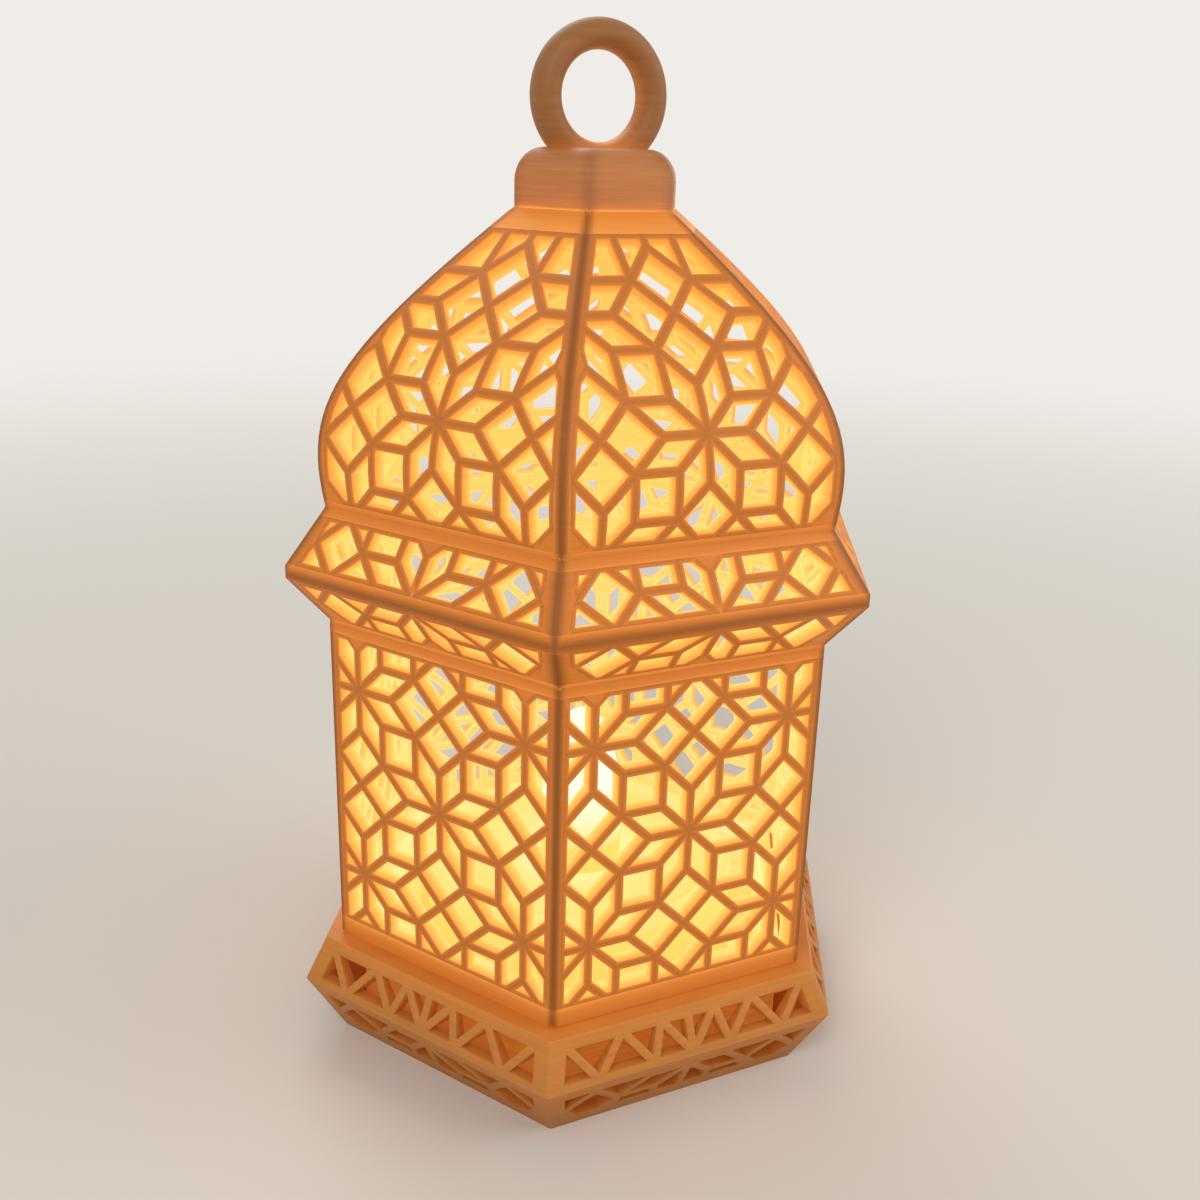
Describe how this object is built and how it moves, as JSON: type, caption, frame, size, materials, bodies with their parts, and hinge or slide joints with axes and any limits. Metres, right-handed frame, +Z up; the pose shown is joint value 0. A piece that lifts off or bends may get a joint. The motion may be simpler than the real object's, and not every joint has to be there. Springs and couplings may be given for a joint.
{
  "type": "moroccan lantern",
  "caption": "Six-sided pierced lantern shell with a domed top and hanging ring, lifted off a cup base that holds a flameless tea light.",
  "frame": {"origin": "on the table, below the middle of the lantern", "axes": "+Z up through the hanging ring, a flat side and the ring's open face towards -Y, two corners on the X axis"},
  "size_m": [0.0686, 0.0596, 0.111],
  "materials": {
    "shell_plastic": "translucent printed plastic, satin, with fine layer lines",
    "light_plastic": "satin white",
    "flame_plastic": "frosted and lit from inside",
    "led_resin": "clear amber, lit",
    "dark_plastic": "matt",
    "steel": "satin",
    "brass": "satin"
  },
  "bodies": {
    "base": {"base_cup": "shell_plastic", "base_panel_1": "shell_plastic", "base_panel_2": "shell_plastic", "base_panel_3": "shell_plastic", "base_panel_4": "shell_plastic", "base_panel_5": "shell_plastic", "base_panel_6": "shell_plastic"},
    "shell": {"body_panel_1": "shell_plastic", "body_panel_2": "shell_plastic", "body_panel_3": "shell_plastic", "body_panel_4": "shell_plastic", "body_panel_5": "shell_plastic", "body_panel_6": "shell_plastic", "skirt_panel_1": "shell_plastic", "skirt_panel_2": "shell_plastic", "skirt_panel_3": "shell_plastic", "skirt_panel_4": "shell_plastic", "skirt_panel_5": "shell_plastic", "skirt_panel_6": "shell_plastic", "dome_panel_1": "shell_plastic", "dome_panel_2": "shell_plastic", "dome_panel_3": "shell_plastic", "dome_panel_4": "shell_plastic", "dome_panel_5": "shell_plastic", "dome_panel_6": "shell_plastic", "cap": "shell_plastic", "hanging_ring": "shell_plastic"},
    "tea_light": {"light_case": "light_plastic", "flame_diffuser": "flame_plastic", "led_lamp": "led_resin", "led_lead_positive": "steel", "led_lead_negative": "steel", "contact_clip": "brass", "contact_spring": "brass", "coin_cell": "steel", "bottom_cover": "light_plastic", "switch_housing": "dark_plastic", "cover_screw_1": "steel", "cover_screw_2": "steel"},
    "door": {"battery_door": "light_plastic"},
    "switch": {"switch_knob": "dark_plastic"}
  },
  "joints": [
    {"name": "shell_lift", "type": "slide", "parent": "base", "child": "shell", "axis": [0, 0, 1], "range_m": [0, 0.04]},
    {"name": "light_lift", "type": "slide", "parent": "base", "child": "tea_light", "axis": [0, 0, 1], "range_m": [0, 0.025]},
    {"name": "door_turn", "type": "hinge", "parent": "tea_light", "child": "door", "pos_m": [-0.002, 0, 0.0024], "axis": [0, 0, 1], "range_deg": [0, 30]},
    {"name": "switch_slide", "type": "slide", "parent": "tea_light", "child": "switch", "axis": [0, 1, 0], "range_m": [0, 0.002]}
  ]
}
